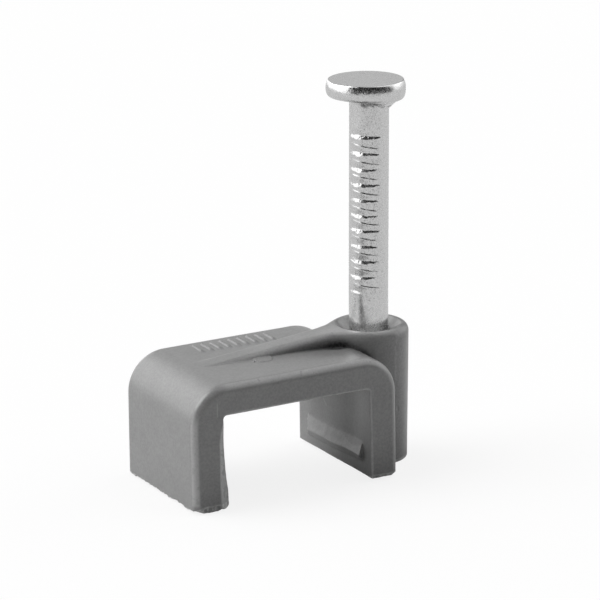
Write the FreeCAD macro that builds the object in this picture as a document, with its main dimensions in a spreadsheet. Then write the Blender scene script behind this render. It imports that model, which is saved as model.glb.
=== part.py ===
import FreeCAD, Part
import Sketcher
import math
import os

# Nail in cable clip: a one-piece plastic moulding that bridges a flat cable, and a steel nail preset in its boss.
# Frame: millimetres, +Z up, away from the wall. The origin is the point where the nail's axis meets the wall plane
# (the plane of the feet). X runs along the bridge, the plain leg is at -X and the nail boss at the origin.
# Y runs along the cable.

doc = FreeCAD.newDocument("nail_in_cable_clip")

# ---------------------------------------------------------------------------------------------------- dimensions
SIZES = [
    # moulding: U-shaped bridge
    ("boss_offset", 11.85, "outer face of the plain leg to the nail's axis"),
    ("clip_length", 11.38, "outer face to outer face of the legs"),
    ("clip_depth", 7.52, "along the cable, at the feet"),
    ("clip_height", 6.33, "feet to the top of the bridge"),
    ("channel_height", 4.82, "feet to the underside of the bridge"),
    ("plain_leg_top", 1.68, "thickness of the plain leg under the bridge"),
    ("plain_leg_foot", 2.08, "thickness of the plain leg at its foot"),
    ("boss_leg_top", 1.585, "thickness of the leg on the nail side under the bridge"),
    ("boss_leg_foot", 1.53, "thickness of the leg on the nail side at its foot"),
    ("face_draft", 0.55, "draft of the front and back faces, degrees"),
    ("outer_corner", 1.97, "radius of the two outer corners of the bridge"),
    ("inner_corner", 0.20, "radius of the channel's two corners"),
    ("rim_round", 0.37, "round along the outer outline of the front and back faces"),
    ("channel_round", 0.10, "round along the channel's outline"),
    # boss
    ("boss_top_radius", 2.02, ""),
    ("boss_foot_radius", 1.915, ""),
    ("boss_height", 7.03, ""),
    ("boss_rim_round", 0.20, "round of the boss rim and the ridge crest"),
    ("guide_radius", 1.03, "the nail's guide bore"),
    ("mouth_radius", 1.66, "the bore's countersunk mouth, at the rim"),
    ("mouth_depth", 0.62, "rim down to where the countersink meets the guide bore"),
    # ridge from the boss down onto the bridge
    ("ridge_start", 9.35, "the nail's axis to the low end of the ridge"),
    ("ridge_end", 2.42, "the nail's axis to where the ridge reaches the boss's height"),
    ("ridge_half_width", 0.80, ""),
    ("ridge_blend", 0.90, "concave radius between the ridge and the boss"),
    # retaining ribs inside the channel
    ("rib_length", 5.50, "along the cable"),
    ("rib_stand", 0.22, "how far a rib stands into the channel"),
    ("rib_top", 1.81, "height of a rib's upper edge"),
    ("rib_nose", 1.06, "height of a rib's crest"),
    ("rib_bottom", 0.70, "height of a rib's lower edge"),
    # raised plain bars on the bridge
    ("bar_first", 8.50, "the nail's axis to the first bar"),
    ("bar_back", 2.25, "middle of the bars behind the mid-plane"),
    ("bar_width", 0.15, ""),
    ("bar_length", 1.30, ""),
    ("bar_stand", 0.09, ""),
    ("bar_pitch", 0.50, ""),
    ("bar_count", 9, ""),
    # moulding vestige at the foot of the ridge
    ("vestige_offset", 6.50, "the nail's axis to the vestige"),
    ("vestige_front", 0.86, "vestige's centre in front of the mid-plane"),
    ("vestige_radius", 0.50, ""),
    ("vestige_stand", 0.06, ""),
    # nail
    ("nail_top", 19.50, "feet to the top of the head, nail preset"),
    ("nail_length", 18.50, ""),
    ("shank_radius", 1.00, ""),
    ("head_radius", 1.99, ""),
    ("head_flat", 1.856, "radius of the head's flat top"),
    ("head_thickness", 0.80, ""),
    ("head_shoulder", 0.27, "top of the head down to its widest ring"),
    ("head_lower", 1.80, "radius of the head's underside"),
    ("neck_radius", 1.30, "the cone under the head, where it meets the underside"),
    ("neck_height", 0.34, "the cone under the head"),
    ("head_shift_a", 0.024, "the head stands this much off the shank's axis, along the marked side"),
    ("head_shift_b", 0.066, "and this much across it"),
    ("point_length", 2.30, "the four-sided point"),
    ("mark_azimuth", 221.4, "direction that the gripper marks face, degrees"),
    ("mark_span", 92.0, "arc of one gripper mark, degrees"),
    ("mark_top", 16.76, "height of the first deep gripper mark"),
    ("mark_pitch", 0.795, ""),
    ("mark_count", 11, ""),
    ("mark_depth", 0.06, ""),
    ("mark_height", 0.24, ""),
    ("light_mark_depth", 0.03, ""),
    ("light_mark_height", 0.14, ""),
    ("light_mark_count", 10, ""),
]

sheet = doc.addObject("Spreadsheet::Sheet", "Sizes")
V = {}
for row, (alias, value, note) in enumerate(SIZES, start=1):
    sheet.set("A%d" % row, alias)
    sheet.set("B%d" % row, str(value))
    sheet.set("C%d" % row, note)
    sheet.setAlias("B%d" % row, alias)
    V[alias] = float(value)
doc.recompute()


def bound(text):
    """An expression on the sheet's aliases, and its present value."""
    out, word = "", ""
    for ch in text + " ":
        if ch.isalpha() or ch == "_" or (word and ch.isdigit()):
            word += ch
            continue
        if word:
            out += "Sizes." + word if word in V else word
            word = ""
        out += ch
    value = 0.0
    for term in text.replace("-", "+-").split("+"):
        term = term.strip()
        if not term:
            continue
        sign = -1.0 if term.startswith("-") else 1.0
        term = term.lstrip("-").strip()
        factor = 1.0
        for piece in term.split("*"):
            piece = piece.strip()
            factor *= V[piece] if piece in V else float(piece)
        value += sign * factor
    return out.strip(), value


def plane_of(body, role):
    for feature in body.Origin.OriginFeatures:
        if feature.Role == role:
            return feature
    raise RuntimeError("no plane " + role)


def new_body(label):
    body = doc.addObject("PartDesign::Body", label)
    body.Label = label
    return body


def new_sketch(body, name, role="XZ_Plane", lift=None):
    sketch = body.newObject("Sketcher::SketchObject", name)
    sketch.AttachmentSupport = [(plane_of(body, role), "")]
    sketch.MapMode = "FlatFace"
    if lift is not None:
        sketch.setExpression("AttachmentOffset.Base.z", bound(lift)[0])
        sketch.AttachmentOffset = FreeCAD.Placement(FreeCAD.Vector(0, 0, bound(lift)[1]), FreeCAD.Rotation())
    return sketch


def place_point(sketch, geo, pos, ex, ey):
    """Pin a sketch point with distances from the sketch's origin, each bound to the sheet."""
    for kind, text in (("DistanceX", ex), ("DistanceY", ey)):
        expression, value = bound(text)
        if abs(value) < 1e-9:
            if kind == "DistanceX":
                sketch.addConstraint(Sketcher.Constraint("PointOnObject", geo, pos, -2))
            else:
                sketch.addConstraint(Sketcher.Constraint("PointOnObject", geo, pos, -1))
            continue
        if value > 0:
            index = sketch.addConstraint(Sketcher.Constraint(kind, -1, 1, geo, pos, value))
        else:
            index = sketch.addConstraint(Sketcher.Constraint(kind, geo, pos, -1, 1, -value))
            expression = "-(" + expression + ")"
        name = "%s%d_%d" % ("x" if kind == "DistanceX" else "y", geo, pos)
        sketch.renameConstraint(index, name)
        sketch.setExpression("Constraints." + name, expression)


def polygon(sketch, corners):
    """A closed outline through corners given as expressions on the sheet."""
    points = [FreeCAD.Vector(bound(a)[1], bound(b)[1], 0) for a, b in corners]
    count = len(points)
    for i in range(count):
        sketch.addGeometry(Part.LineSegment(points[i], points[(i + 1) % count]), False)
    for i in range(count):
        sketch.addConstraint(Sketcher.Constraint("Coincident", i, 2, (i + 1) % count, 1))
    for i, (a, b) in enumerate(corners):
        place_point(sketch, i, 1, a, b)


def disc(sketch, cx, cy, radius):
    expression, value = bound(radius)
    centre = FreeCAD.Vector(bound(cx)[1], bound(cy)[1], 0)
    sketch.addGeometry(Part.Circle(centre, FreeCAD.Vector(0, 0, 1), value), False)
    place_point(sketch, 0, 3, cx, cy)
    index = sketch.addConstraint(Sketcher.Constraint("Radius", 0, value))
    sketch.renameConstraint(index, "radius")
    sketch.setExpression("Constraints.radius", expression)


def pad(body, sketch, name, length, symmetric=False, reverse=False):
    feature = body.newObject("PartDesign::Pad", name)
    feature.Profile = sketch
    feature.setExpression("Length", bound(length)[0])
    if symmetric:
        feature.SideType = "Symmetric"
    feature.Reversed = reverse
    doc.recompute()
    return feature


def turn(body, sketch, name, kind="PartDesign::Revolution", angle=None, middle=False):
    feature = body.newObject(kind, name)
    feature.Profile = sketch
    feature.ReferenceAxis = (sketch, ["V_Axis"])
    feature.Angle = 360.0
    if angle is not None:
        feature.setExpression("Angle", bound(angle)[0])
    feature.Midplane = middle
    doc.recompute()
    return feature


def edges_where(shape, test):
    return ["Edge%d" % (i + 1) for i, edge in enumerate(shape.Edges) if test(edge)]


def ends(edge):
    return [v.Point for v in edge.Vertexes]


def near(a, b, tolerance=1e-3):
    return abs(a - b) < tolerance


def round_edges(body, base, names, name, radius):
    if not names:
        raise RuntimeError("no edges for " + name)
    feature = body.newObject("PartDesign::Fillet", name)
    feature.Base = (base, names)
    feature.setExpression("Radius", bound(radius)[0])
    doc.recompute()
    return feature


def step_ok(feature, bigger=None, than=None):
    """Stop at once if a feature failed, or moved the volume the wrong way."""
    if feature.Shape.isNull() or not feature.Shape.isValid() or "Invalid" in feature.State or "Error" in feature.State:
        raise RuntimeError("feature failed: " + feature.Name)
    if bigger is not None:
        change = feature.Shape.Volume - than.Shape.Volume
        if (bigger and change <= 1e-6) or (not bigger and change >= -1e-6):
            raise RuntimeError("feature did nothing: %s (%.6f)" % (feature.Name, change))
    return feature


# ---------------------------------------------------------------------------------------------------- the moulding
clip = new_body("clip_body")

# U-shaped bridge: bridge and both legs are one profile, extruded along the cable.
profile = new_sketch(clip, "bridge_profile")
polygon(profile, [
    ("-boss_offset", "0"),
    ("-boss_offset", "clip_height"),
    ("-boss_offset+clip_length", "clip_height"),
    ("-boss_offset+clip_length", "0"),
    ("-boss_offset+clip_length-boss_leg_foot", "0"),
    ("-boss_offset+clip_length-boss_leg_top", "channel_height"),
    ("-boss_offset+plain_leg_top", "channel_height"),
    ("-boss_offset+plain_leg_foot", "0"),
])
bridge = step_ok(pad(clip, profile, "bridge", "clip_depth", symmetric=True))

# The front and back faces lean in towards the top.
half_depth = V["clip_depth"] / 2
faces = ["Face%d" % (i + 1) for i, face in enumerate(bridge.Shape.Faces)
         if near(abs(face.CenterOfMass.y), half_depth) and abs(face.normalAt(0, 0).y) > 0.99]
draft = clip.newObject("PartDesign::Draft", "face_drafts")
draft.Base = (bridge, faces)
draft.setExpression("Angle", "Sizes.face_draft")
draft.NeutralPlane = (plane_of(clip, "XY_Plane"), [""])
doc.recompute()
draft.touch()
doc.recompute()
step_ok(draft, False, bridge)

# Outer corners of the bridge, then the corners of the channel.
left, right = -V["boss_offset"], -V["boss_offset"] + V["clip_length"]


def along_cable(edge):
    a, b = ends(edge)
    return abs(a.y - b.y) > V["clip_depth"] * 0.8


outer = edges_where(draft.Shape, lambda e: along_cable(e) and near(ends(e)[0].z, V["clip_height"]))
corners = step_ok(round_edges(clip, draft, outer, "outer_corners", "outer_corner"), False, draft)
inner = edges_where(corners.Shape, lambda e: len(e.Vertexes) == 2 and along_cable(e)
                    and near(ends(e)[0].z, V["channel_height"]))
channel = step_ok(round_edges(clip, corners, inner, "channel_corners", "inner_corner"), True, corners)


# Soft round along the outer outline of both faces, a finer one along the channel.
def on_face(edge):
    return all(half_depth - 0.1 - abs(p.y) < 0.0 or abs(abs(p.y) - half_depth) < 0.1 for p in ends(edge)) \
        and near(ends(edge)[0].y > 0, ends(edge)[-1].y > 0)


def outer_line(edge):
    middle = edge.valueAt((edge.FirstParameter + edge.LastParameter) / 2)
    if not on_face(edge) or middle.z < 1e-3:
        return False
    return near(middle.x, left) or near(middle.x, right) or middle.z > V["channel_height"] + 0.6 \
        or middle.x < left + 0.6 or middle.x > right - 0.6


rim = step_ok(round_edges(clip, channel, edges_where(channel.Shape, outer_line), "face_rims", "rim_round"),
              False, channel)


def channel_line(edge):
    middle = edge.valueAt((edge.FirstParameter + edge.LastParameter) / 2)
    return abs(abs(middle.y) - half_depth) < 0.12 and 1e-3 < middle.z < V["channel_height"] + 0.01 \
        and left + 0.9 < middle.x < right - 0.9


mouth = step_ok(round_edges(clip, rim, edges_where(rim.Shape, channel_line), "channel_rims", "channel_round"),
                False, rim)

# Nail boss: a slightly tapered post that swallows the middle of the leg on its side.
post_profile = new_sketch(clip, "boss_profile")
polygon(post_profile, [
    ("0", "0"),
    ("boss_foot_radius", "0"),
    ("boss_top_radius", "boss_height"),
    ("0", "boss_height"),
])
post = step_ok(turn(clip, post_profile, "boss"), True, mouth)

# Ridge: from the boss's rim down onto the bridge, sloping to nothing.
ridge_profile = new_sketch(clip, "ridge_profile")
polygon(ridge_profile, [
    ("-ridge_start", "clip_height"),
    ("-ridge_end", "boss_height"),
    ("-0.5*boss_top_radius", "boss_height"),
    ("-0.5*boss_top_radius", "clip_height-0.5"),
    ("-ridge_start", "clip_height-0.5"),
])
ridge = step_ok(pad(clip, ridge_profile, "ridge", "2*ridge_half_width", symmetric=True), True, post)


# Concave blend between the ridge's sides and the boss.
def ridge_meets_boss(edge):
    if len(edge.Vertexes) != 2:
        return False
    a, b = ends(edge)
    return all(near(math.hypot(p.x, p.y), V["boss_top_radius"], 0.03) and near(abs(p.y), V["ridge_half_width"], 0.02)
               and p.x < 0 and p.z > V["clip_height"] - 0.3 for p in (a, b)) and abs(a.z - b.z) > 0.3


blend = step_ok(round_edges(clip, ridge, edges_where(ridge.Shape, ridge_meets_boss), "ridge_blends", "ridge_blend"),
                True, ridge)


# Round along the ridge's top edges and round the boss's rim, in one chain.
def crest(edge):
    middle = edge.valueAt((edge.FirstParameter + edge.LastParameter) / 2)
    rise = (V["boss_height"] - V["clip_height"]) / (V["ridge_start"] - V["ridge_end"])
    top_here = min(V["boss_height"], V["clip_height"] + rise * (middle.x + V["ridge_start"]))
    if not near(middle.z, top_here, 0.01) or middle.x < 0.02 - V["ridge_start"]:
        return False
    return abs(middle.y) > V["ridge_half_width"] - 0.02 or math.hypot(middle.x, middle.y) > V["boss_top_radius"] - 0.02


crest_names = edges_where(blend.Shape, crest)
crests = step_ok(round_edges(clip, blend, crest_names, "crest_rounds", "boss_rim_round"), False, blend)

# Bore: guide for the nail, with a countersunk mouth.
bore_profile = new_sketch(clip, "bore_profile")
polygon(bore_profile, [
    ("0", "-1"),
    ("guide_radius", "-1"),
    ("guide_radius", "boss_height-mouth_depth"),
    ("mouth_radius", "boss_height"),
    ("mouth_radius", "boss_height+1"),
    ("0", "boss_height+1"),
])
bore = step_ok(turn(clip, bore_profile, "bore", "PartDesign::Groove"), False, crests)

# Retaining ribs low on the channel's two walls.
rib_a_profile = new_sketch(clip, "boss_side_rib_profile")
polygon(rib_a_profile, [
    ("-boss_offset+clip_length-boss_leg_foot+0.3", "rib_top"),
    ("-boss_offset+clip_length-boss_leg_foot-0.01", "rib_top"),
    ("-boss_offset+clip_length-boss_leg_foot-rib_stand", "rib_nose"),
    ("-boss_offset+clip_length-boss_leg_foot-0.01", "rib_bottom"),
    ("-boss_offset+clip_length-boss_leg_foot+0.3", "rib_bottom"),
])
rib_a = step_ok(pad(clip, rib_a_profile, "boss_side_rib", "rib_length", symmetric=True), True, bore)
rib_b_profile = new_sketch(clip, "plain_side_rib_profile")
polygon(rib_b_profile, [
    ("-boss_offset+plain_leg_foot-0.4", "rib_top"),
    ("-boss_offset+plain_leg_foot-0.16", "rib_top"),
    ("-boss_offset+plain_leg_foot+rib_stand-0.07", "rib_nose"),
    ("-boss_offset+plain_leg_foot-0.07", "rib_bottom"),
    ("-boss_offset+plain_leg_foot-0.4", "rib_bottom"),
])
rib_b = step_ok(pad(clip, rib_b_profile, "plain_side_rib", "rib_length", symmetric=True), True, rib_a)

# A row of plain raised bars on the bridge, behind the ridge.
bar_profile = new_sketch(clip, "bar_profile", "XY_Plane", "clip_height-0.1")
polygon(bar_profile, [
    ("-bar_first", "bar_back-0.5*bar_length"),
    ("-bar_first+bar_width", "bar_back-0.5*bar_length"),
    ("-bar_first+bar_width", "bar_back+0.5*bar_length"),
    ("-bar_first", "bar_back+0.5*bar_length"),
])
bar = step_ok(pad(clip, bar_profile, "bar", "bar_stand+0.1"), True, rib_b)
bars = clip.newObject("PartDesign::LinearPattern", "bars")
bars.Originals = [bar]
bars.Direction = (bar_profile, ["H_Axis"])
bars.Mode = "Spacing"
bars.setExpression("Offset", "Sizes.bar_pitch")
bars.setExpression("Occurrences", "Sizes.bar_count")
clip.Tip = bars
doc.recompute()
step_ok(bars, True, bar)

# Small round vestige at the foot of the ridge, on its front side.
vestige_profile = new_sketch(clip, "vestige_profile", "XY_Plane", "clip_height-0.1")
disc(vestige_profile, "-vestige_offset", "-vestige_front", "vestige_radius")
vestige = step_ok(pad(clip, vestige_profile, "vestige", "vestige_stand+0.1"), True, bars)
clip.Tip = vestige
clip.Placement = FreeCAD.Placement()

# ---------------------------------------------------------------------------------------------------- the nail
nail = new_body("nail")

# Shank, a plain round wire down to the start of the point.
shank_profile = new_sketch(nail, "shank_profile")
polygon(shank_profile, [
    ("0", "nail_top-nail_length"),
    ("shank_radius", "nail_top-nail_length"),
    ("shank_radius", "nail_top-0.3"),
    ("0", "nail_top-0.3"),
])
shank = step_ok(turn(nail, shank_profile, "shank"))

# Head, upset from the wire: flat top, rounded rim, flat underside and a short cone. It stands slightly off the axis.
head_profile = new_sketch(nail, "head_profile")
polygon(head_profile, [
    ("0", "nail_top"),
    ("head_flat", "nail_top"),
    ("head_radius", "nail_top-head_shoulder"),
    ("head_radius", "nail_top-head_shoulder-0.22"),
    ("head_lower", "nail_top-head_thickness"),
    ("neck_radius", "nail_top-head_thickness"),
    ("0.9*shank_radius", "nail_top-head_thickness-neck_height"),
    ("0", "nail_top-head_thickness-neck_height"),
])
head_profile.AttachmentOffset = FreeCAD.Placement(
    FreeCAD.Vector(V["head_shift_a"], 0, V["head_shift_b"]), FreeCAD.Rotation())
head_profile.setExpression("AttachmentOffset.Base.x", "Sizes.head_shift_a")
head_profile.setExpression("AttachmentOffset.Base.z", "Sizes.head_shift_b")
head = step_ok(turn(nail, head_profile, "head"), True, shank)


def head_ring(edge):
    if len(edge.Vertexes) != 1:
        return False
    p = edge.Vertexes[0].Point
    top = V["nail_top"]
    reach = math.hypot(p.x - V["head_shift_a"], p.y + V["head_shift_b"])
    return (near(p.z, top - V["head_shoulder"], 0.01) or near(p.z, top - V["head_shoulder"] - 0.22, 0.01)) \
        and reach > V["head_flat"]


rim_rings = edges_where(head.Shape, head_ring)
head_soft = step_ok(round_edges(nail, head, rim_rings, "head_rim", "head_shoulder"), False, head)

# Four-sided point.
point_profile = new_sketch(nail, "point_profile")
polygon(point_profile, [
    ("0.06*shank_radius", "nail_top-nail_length-0.2"),
    ("0.06*shank_radius", "nail_top-nail_length"),
    ("1.15*shank_radius", "nail_top-nail_length+1.15*point_length"),
    ("2*shank_radius", "nail_top-nail_length+1.15*point_length"),
    ("2*shank_radius", "nail_top-nail_length-0.2"),
])
facet = nail.newObject("PartDesign::Pocket", "point_facet")
facet.Profile = point_profile
facet.SideType = "Symmetric"
facet.setExpression("Length", "6 * Sizes.shank_radius")
doc.recompute()
step_ok(facet, False, head_soft)
point = nail.newObject("PartDesign::PolarPattern", "point")
point.Originals = [facet]
point.Axis = (point_profile, ["V_Axis"])
point.Angle = 360.0
point.Occurrences = 4
nail.Tip = point
doc.recompute()
step_ok(point, False, facet)


# Gripper marks: rows of shallow notches pressed into two opposite sides of the shank by the heading dies.
def marks(name, base, top, depth, height, count, side):
    sketch = new_sketch(nail, name + "_profile")
    polygon(sketch, [
        (side + "shank_radius" + ("-" if side == "" else "+") + depth, top),
        (side + "1.2*shank_radius", top + "+0.5*" + height),
        (side + "1.2*shank_radius", top + "-0.5*" + height),
    ])
    groove = step_ok(turn(nail, sketch, name, "PartDesign::Groove", "mark_span", True), False, base)
    row = nail.newObject("PartDesign::LinearPattern", name + "_row")
    row.Originals = [groove]
    row.Direction = (sketch, ["V_Axis"])
    row.Reversed = True
    row.Mode = "Spacing"
    row.setExpression("Offset", "Sizes.mark_pitch")
    row.setExpression("Occurrences", "Sizes." + count)
    nail.Tip = row
    doc.recompute()
    return step_ok(row, False, groove)


last = point
for name, top, depth, height, count, side in (
        ("deep_marks_a", "mark_top", "mark_depth", "mark_height", "mark_count", ""),
        ("deep_marks_b", "mark_top-0.1", "mark_depth", "mark_height", "mark_count", "-"),
        ("light_marks_a", "mark_top-0.5*mark_pitch", "light_mark_depth", "light_mark_height", "light_mark_count", ""),
        ("light_marks_b", "mark_top-0.5*mark_pitch-0.1", "light_mark_depth", "light_mark_height",
         "light_mark_count", "-")):
    last = marks(name, last, top, depth, height, count, side)
nail.Tip = last

# The body's own +X side carries a row of marks, and is turned to the direction that they face.
nail.Placement = FreeCAD.Placement(FreeCAD.Vector(0, 0, 0), FreeCAD.Rotation(FreeCAD.Vector(0, 0, 1), 0))
nail.setExpression("Placement.Rotation.Angle", "Sizes.mark_azimuth")

# ---------------------------------------------------------------------------------------------------- check, write
doc.recompute()
for item in doc.Objects:
    if "Invalid" in item.State or "Error" in item.State:
        raise RuntimeError("failed object: " + item.Name)
os.makedirs("parts", exist_ok=True)
for body in (clip, nail):
    shape = body.Shape
    if shape.isNull() or not shape.isValid() or len(shape.Solids) != 1:
        raise RuntimeError("bad shape: " + body.Label)
for body in (clip, nail):
    shape = body.Shape
    shape.exportStep("parts/%s.step" % body.Label)
    box = shape.BoundBox
    print("%-10s volume %.2f  box x %.3f..%.3f  y %.3f..%.3f  z %.3f..%.3f  faces %d" % (
        body.Label, shape.Volume, box.XMin, box.XMax, box.YMin, box.YMax, box.ZMin, box.ZMax, len(shape.Faces)))
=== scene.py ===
import math

import bpy
import numpy as np
from mathutils import Matrix, Vector


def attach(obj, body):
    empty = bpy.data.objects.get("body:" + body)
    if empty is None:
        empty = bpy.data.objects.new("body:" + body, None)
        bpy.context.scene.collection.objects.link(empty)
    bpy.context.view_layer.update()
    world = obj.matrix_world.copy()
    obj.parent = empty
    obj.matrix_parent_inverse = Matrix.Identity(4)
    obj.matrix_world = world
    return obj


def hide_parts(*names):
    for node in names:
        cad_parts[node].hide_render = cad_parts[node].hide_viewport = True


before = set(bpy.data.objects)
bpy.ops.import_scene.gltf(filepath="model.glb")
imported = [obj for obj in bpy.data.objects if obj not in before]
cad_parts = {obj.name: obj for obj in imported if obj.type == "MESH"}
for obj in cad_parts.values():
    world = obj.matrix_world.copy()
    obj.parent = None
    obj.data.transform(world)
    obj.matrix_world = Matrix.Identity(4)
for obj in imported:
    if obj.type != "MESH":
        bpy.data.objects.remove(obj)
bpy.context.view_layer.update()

MM = 0.001
F = np.float32

# The row's frame: +Z away from the wall, the origin where the nail's axis meets the plane of the feet, +X from the
# plain leg towards the nail, +Y along the cable. Shapes below are worked out in millimetres and written in metres.

# ------------------------------------------------------------------------------------------------ seeded noise


def lattice(seed, size=32):
    return np.random.default_rng(seed).random((size, size, size), dtype=np.float32)


def noise(x, y, z, cell, seed, octaves=1):
    """Smooth value noise from -1 to 1, one value per point, with features about one cell wide (mm)."""
    x, y, z = np.broadcast_arrays(np.asarray(x, F), np.asarray(y, F), np.asarray(z, F))
    total, weight, reach = np.zeros(x.shape, F), 1.0, 0.0
    for octave in range(octaves):
        grid = lattice(seed + octave)
        n = grid.shape[0]
        parts = []
        for c, shift in ((x, 3.17), (y, 7.73), (z, 11.31)):
            c = c / F(cell) + F(shift + 64.0)
            base = np.floor(c).astype(np.int32)
            f = c - base
            parts.append((base % n, (base + 1) % n, f * f * (3 - 2 * f)))
        (x0, x1, fx), (y0, y1, fy), (z0, z1, fz) = parts
        a = grid[x0, y0, z0] * (1 - fx) + grid[x1, y0, z0] * fx
        b = grid[x0, y1, z0] * (1 - fx) + grid[x1, y1, z0] * fx
        c = grid[x0, y0, z1] * (1 - fx) + grid[x1, y0, z1] * fx
        d = grid[x0, y1, z1] * (1 - fx) + grid[x1, y1, z1] * fx
        total += F(weight) * (((a * (1 - fy) + b * fy) * (1 - fz) + (c * (1 - fy) + d * fy) * fz) * 2 - 1)
        reach += weight
        weight *= 0.5
        cell *= 0.5
    return total / F(reach)


def ramp(v, a, b):
    """0 at a, 1 at b, smooth between."""
    k = np.clip((v - F(a)) / F(b - a), 0, 1)
    return k * k * (3 - 2 * k)


def ramp_to(v, a, b):
    """The same with a start and an end that vary from point to point."""
    k = np.clip((v - a) / (b - a), 0, 1)
    return k * k * (3 - 2 * k)


# ------------------------------------------------------------------------------------------------ solid modelling
# Shapes are signed distance fields in millimetres, negative inside.


def meet(a, b, r):
    """Intersection with a convex round of radius r."""
    return np.minimum(-r, np.maximum(a, b)) + np.hypot(np.maximum(a + r, 0), np.maximum(b + r, 0))


def join(a, b, r):
    """Union with a concave round of radius r."""
    return np.maximum(r, np.minimum(a, b)) - np.hypot(np.maximum(r - a, 0), np.maximum(r - b, 0))


def blob(x, y, z, at, size):
    """Distance to an ellipsoid, roughly."""
    q = np.sqrt(((x - at[0]) / size[0]) ** 2 + ((y - at[1]) / size[1]) ** 2 + ((z - at[2]) / size[2]) ** 2)
    return (q - 1) * F(min(size))


LEFT, RIGHT = -11.85, -0.47
HALF, HIGH, CEILING = 3.76, 6.33, 4.82
BOSS_TOP = 7.03
MOUTH_DEPTH = 0.62
BARS = [(-8.50 + 0.5 * i) for i in range(9)]
TAPER = math.tan(math.radians(0.55))


def plain_wall(z):
    """The channel face of the plain leg, which thickens towards its foot."""
    return F(-10.175) + F(0.0555) * (F(4.91) - z) + F(0.0344) * np.clip(F(3.01) - z, 0, 2.15) ** 2


def nail_wall(y, z):
    """The channel face of the leg beside the nail, a little sunk over the boss."""
    sink = F(0.135) * np.exp(-((y + F(1.85)) / F(1.15)) ** 2) + F(0.035) * np.exp(-((y - F(1.5)) / F(0.9)) ** 2)
    return F(-2.00) - F(0.055) * np.clip(z / F(CEILING), 0, 1) + sink * (F(0.35) + F(0.65) * ramp(z, 0.2, 1.4))


def tear(x, y, z):
    """Height of the line below which the front of a foot is torn, and how far the torn face stands back."""
    ragged = noise(x, y * F(0.2), z * F(0.2), 0.42, 81, 2)
    plain = x < F(-6)
    line = np.where(plain, F(0.325) + F(0.05) * ragged - F(0.06) * ramp(-x, 11.15, 11.6), F(0.30) + F(0.02) * ragged)
    deep = np.where(plain, F(0.075) * ramp(-x, 9.7, 9.95) * ramp(x, -11.8, -11.5), F(0.045) * ramp(-x, 0.4, 0.6))
    return line, deep


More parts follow.
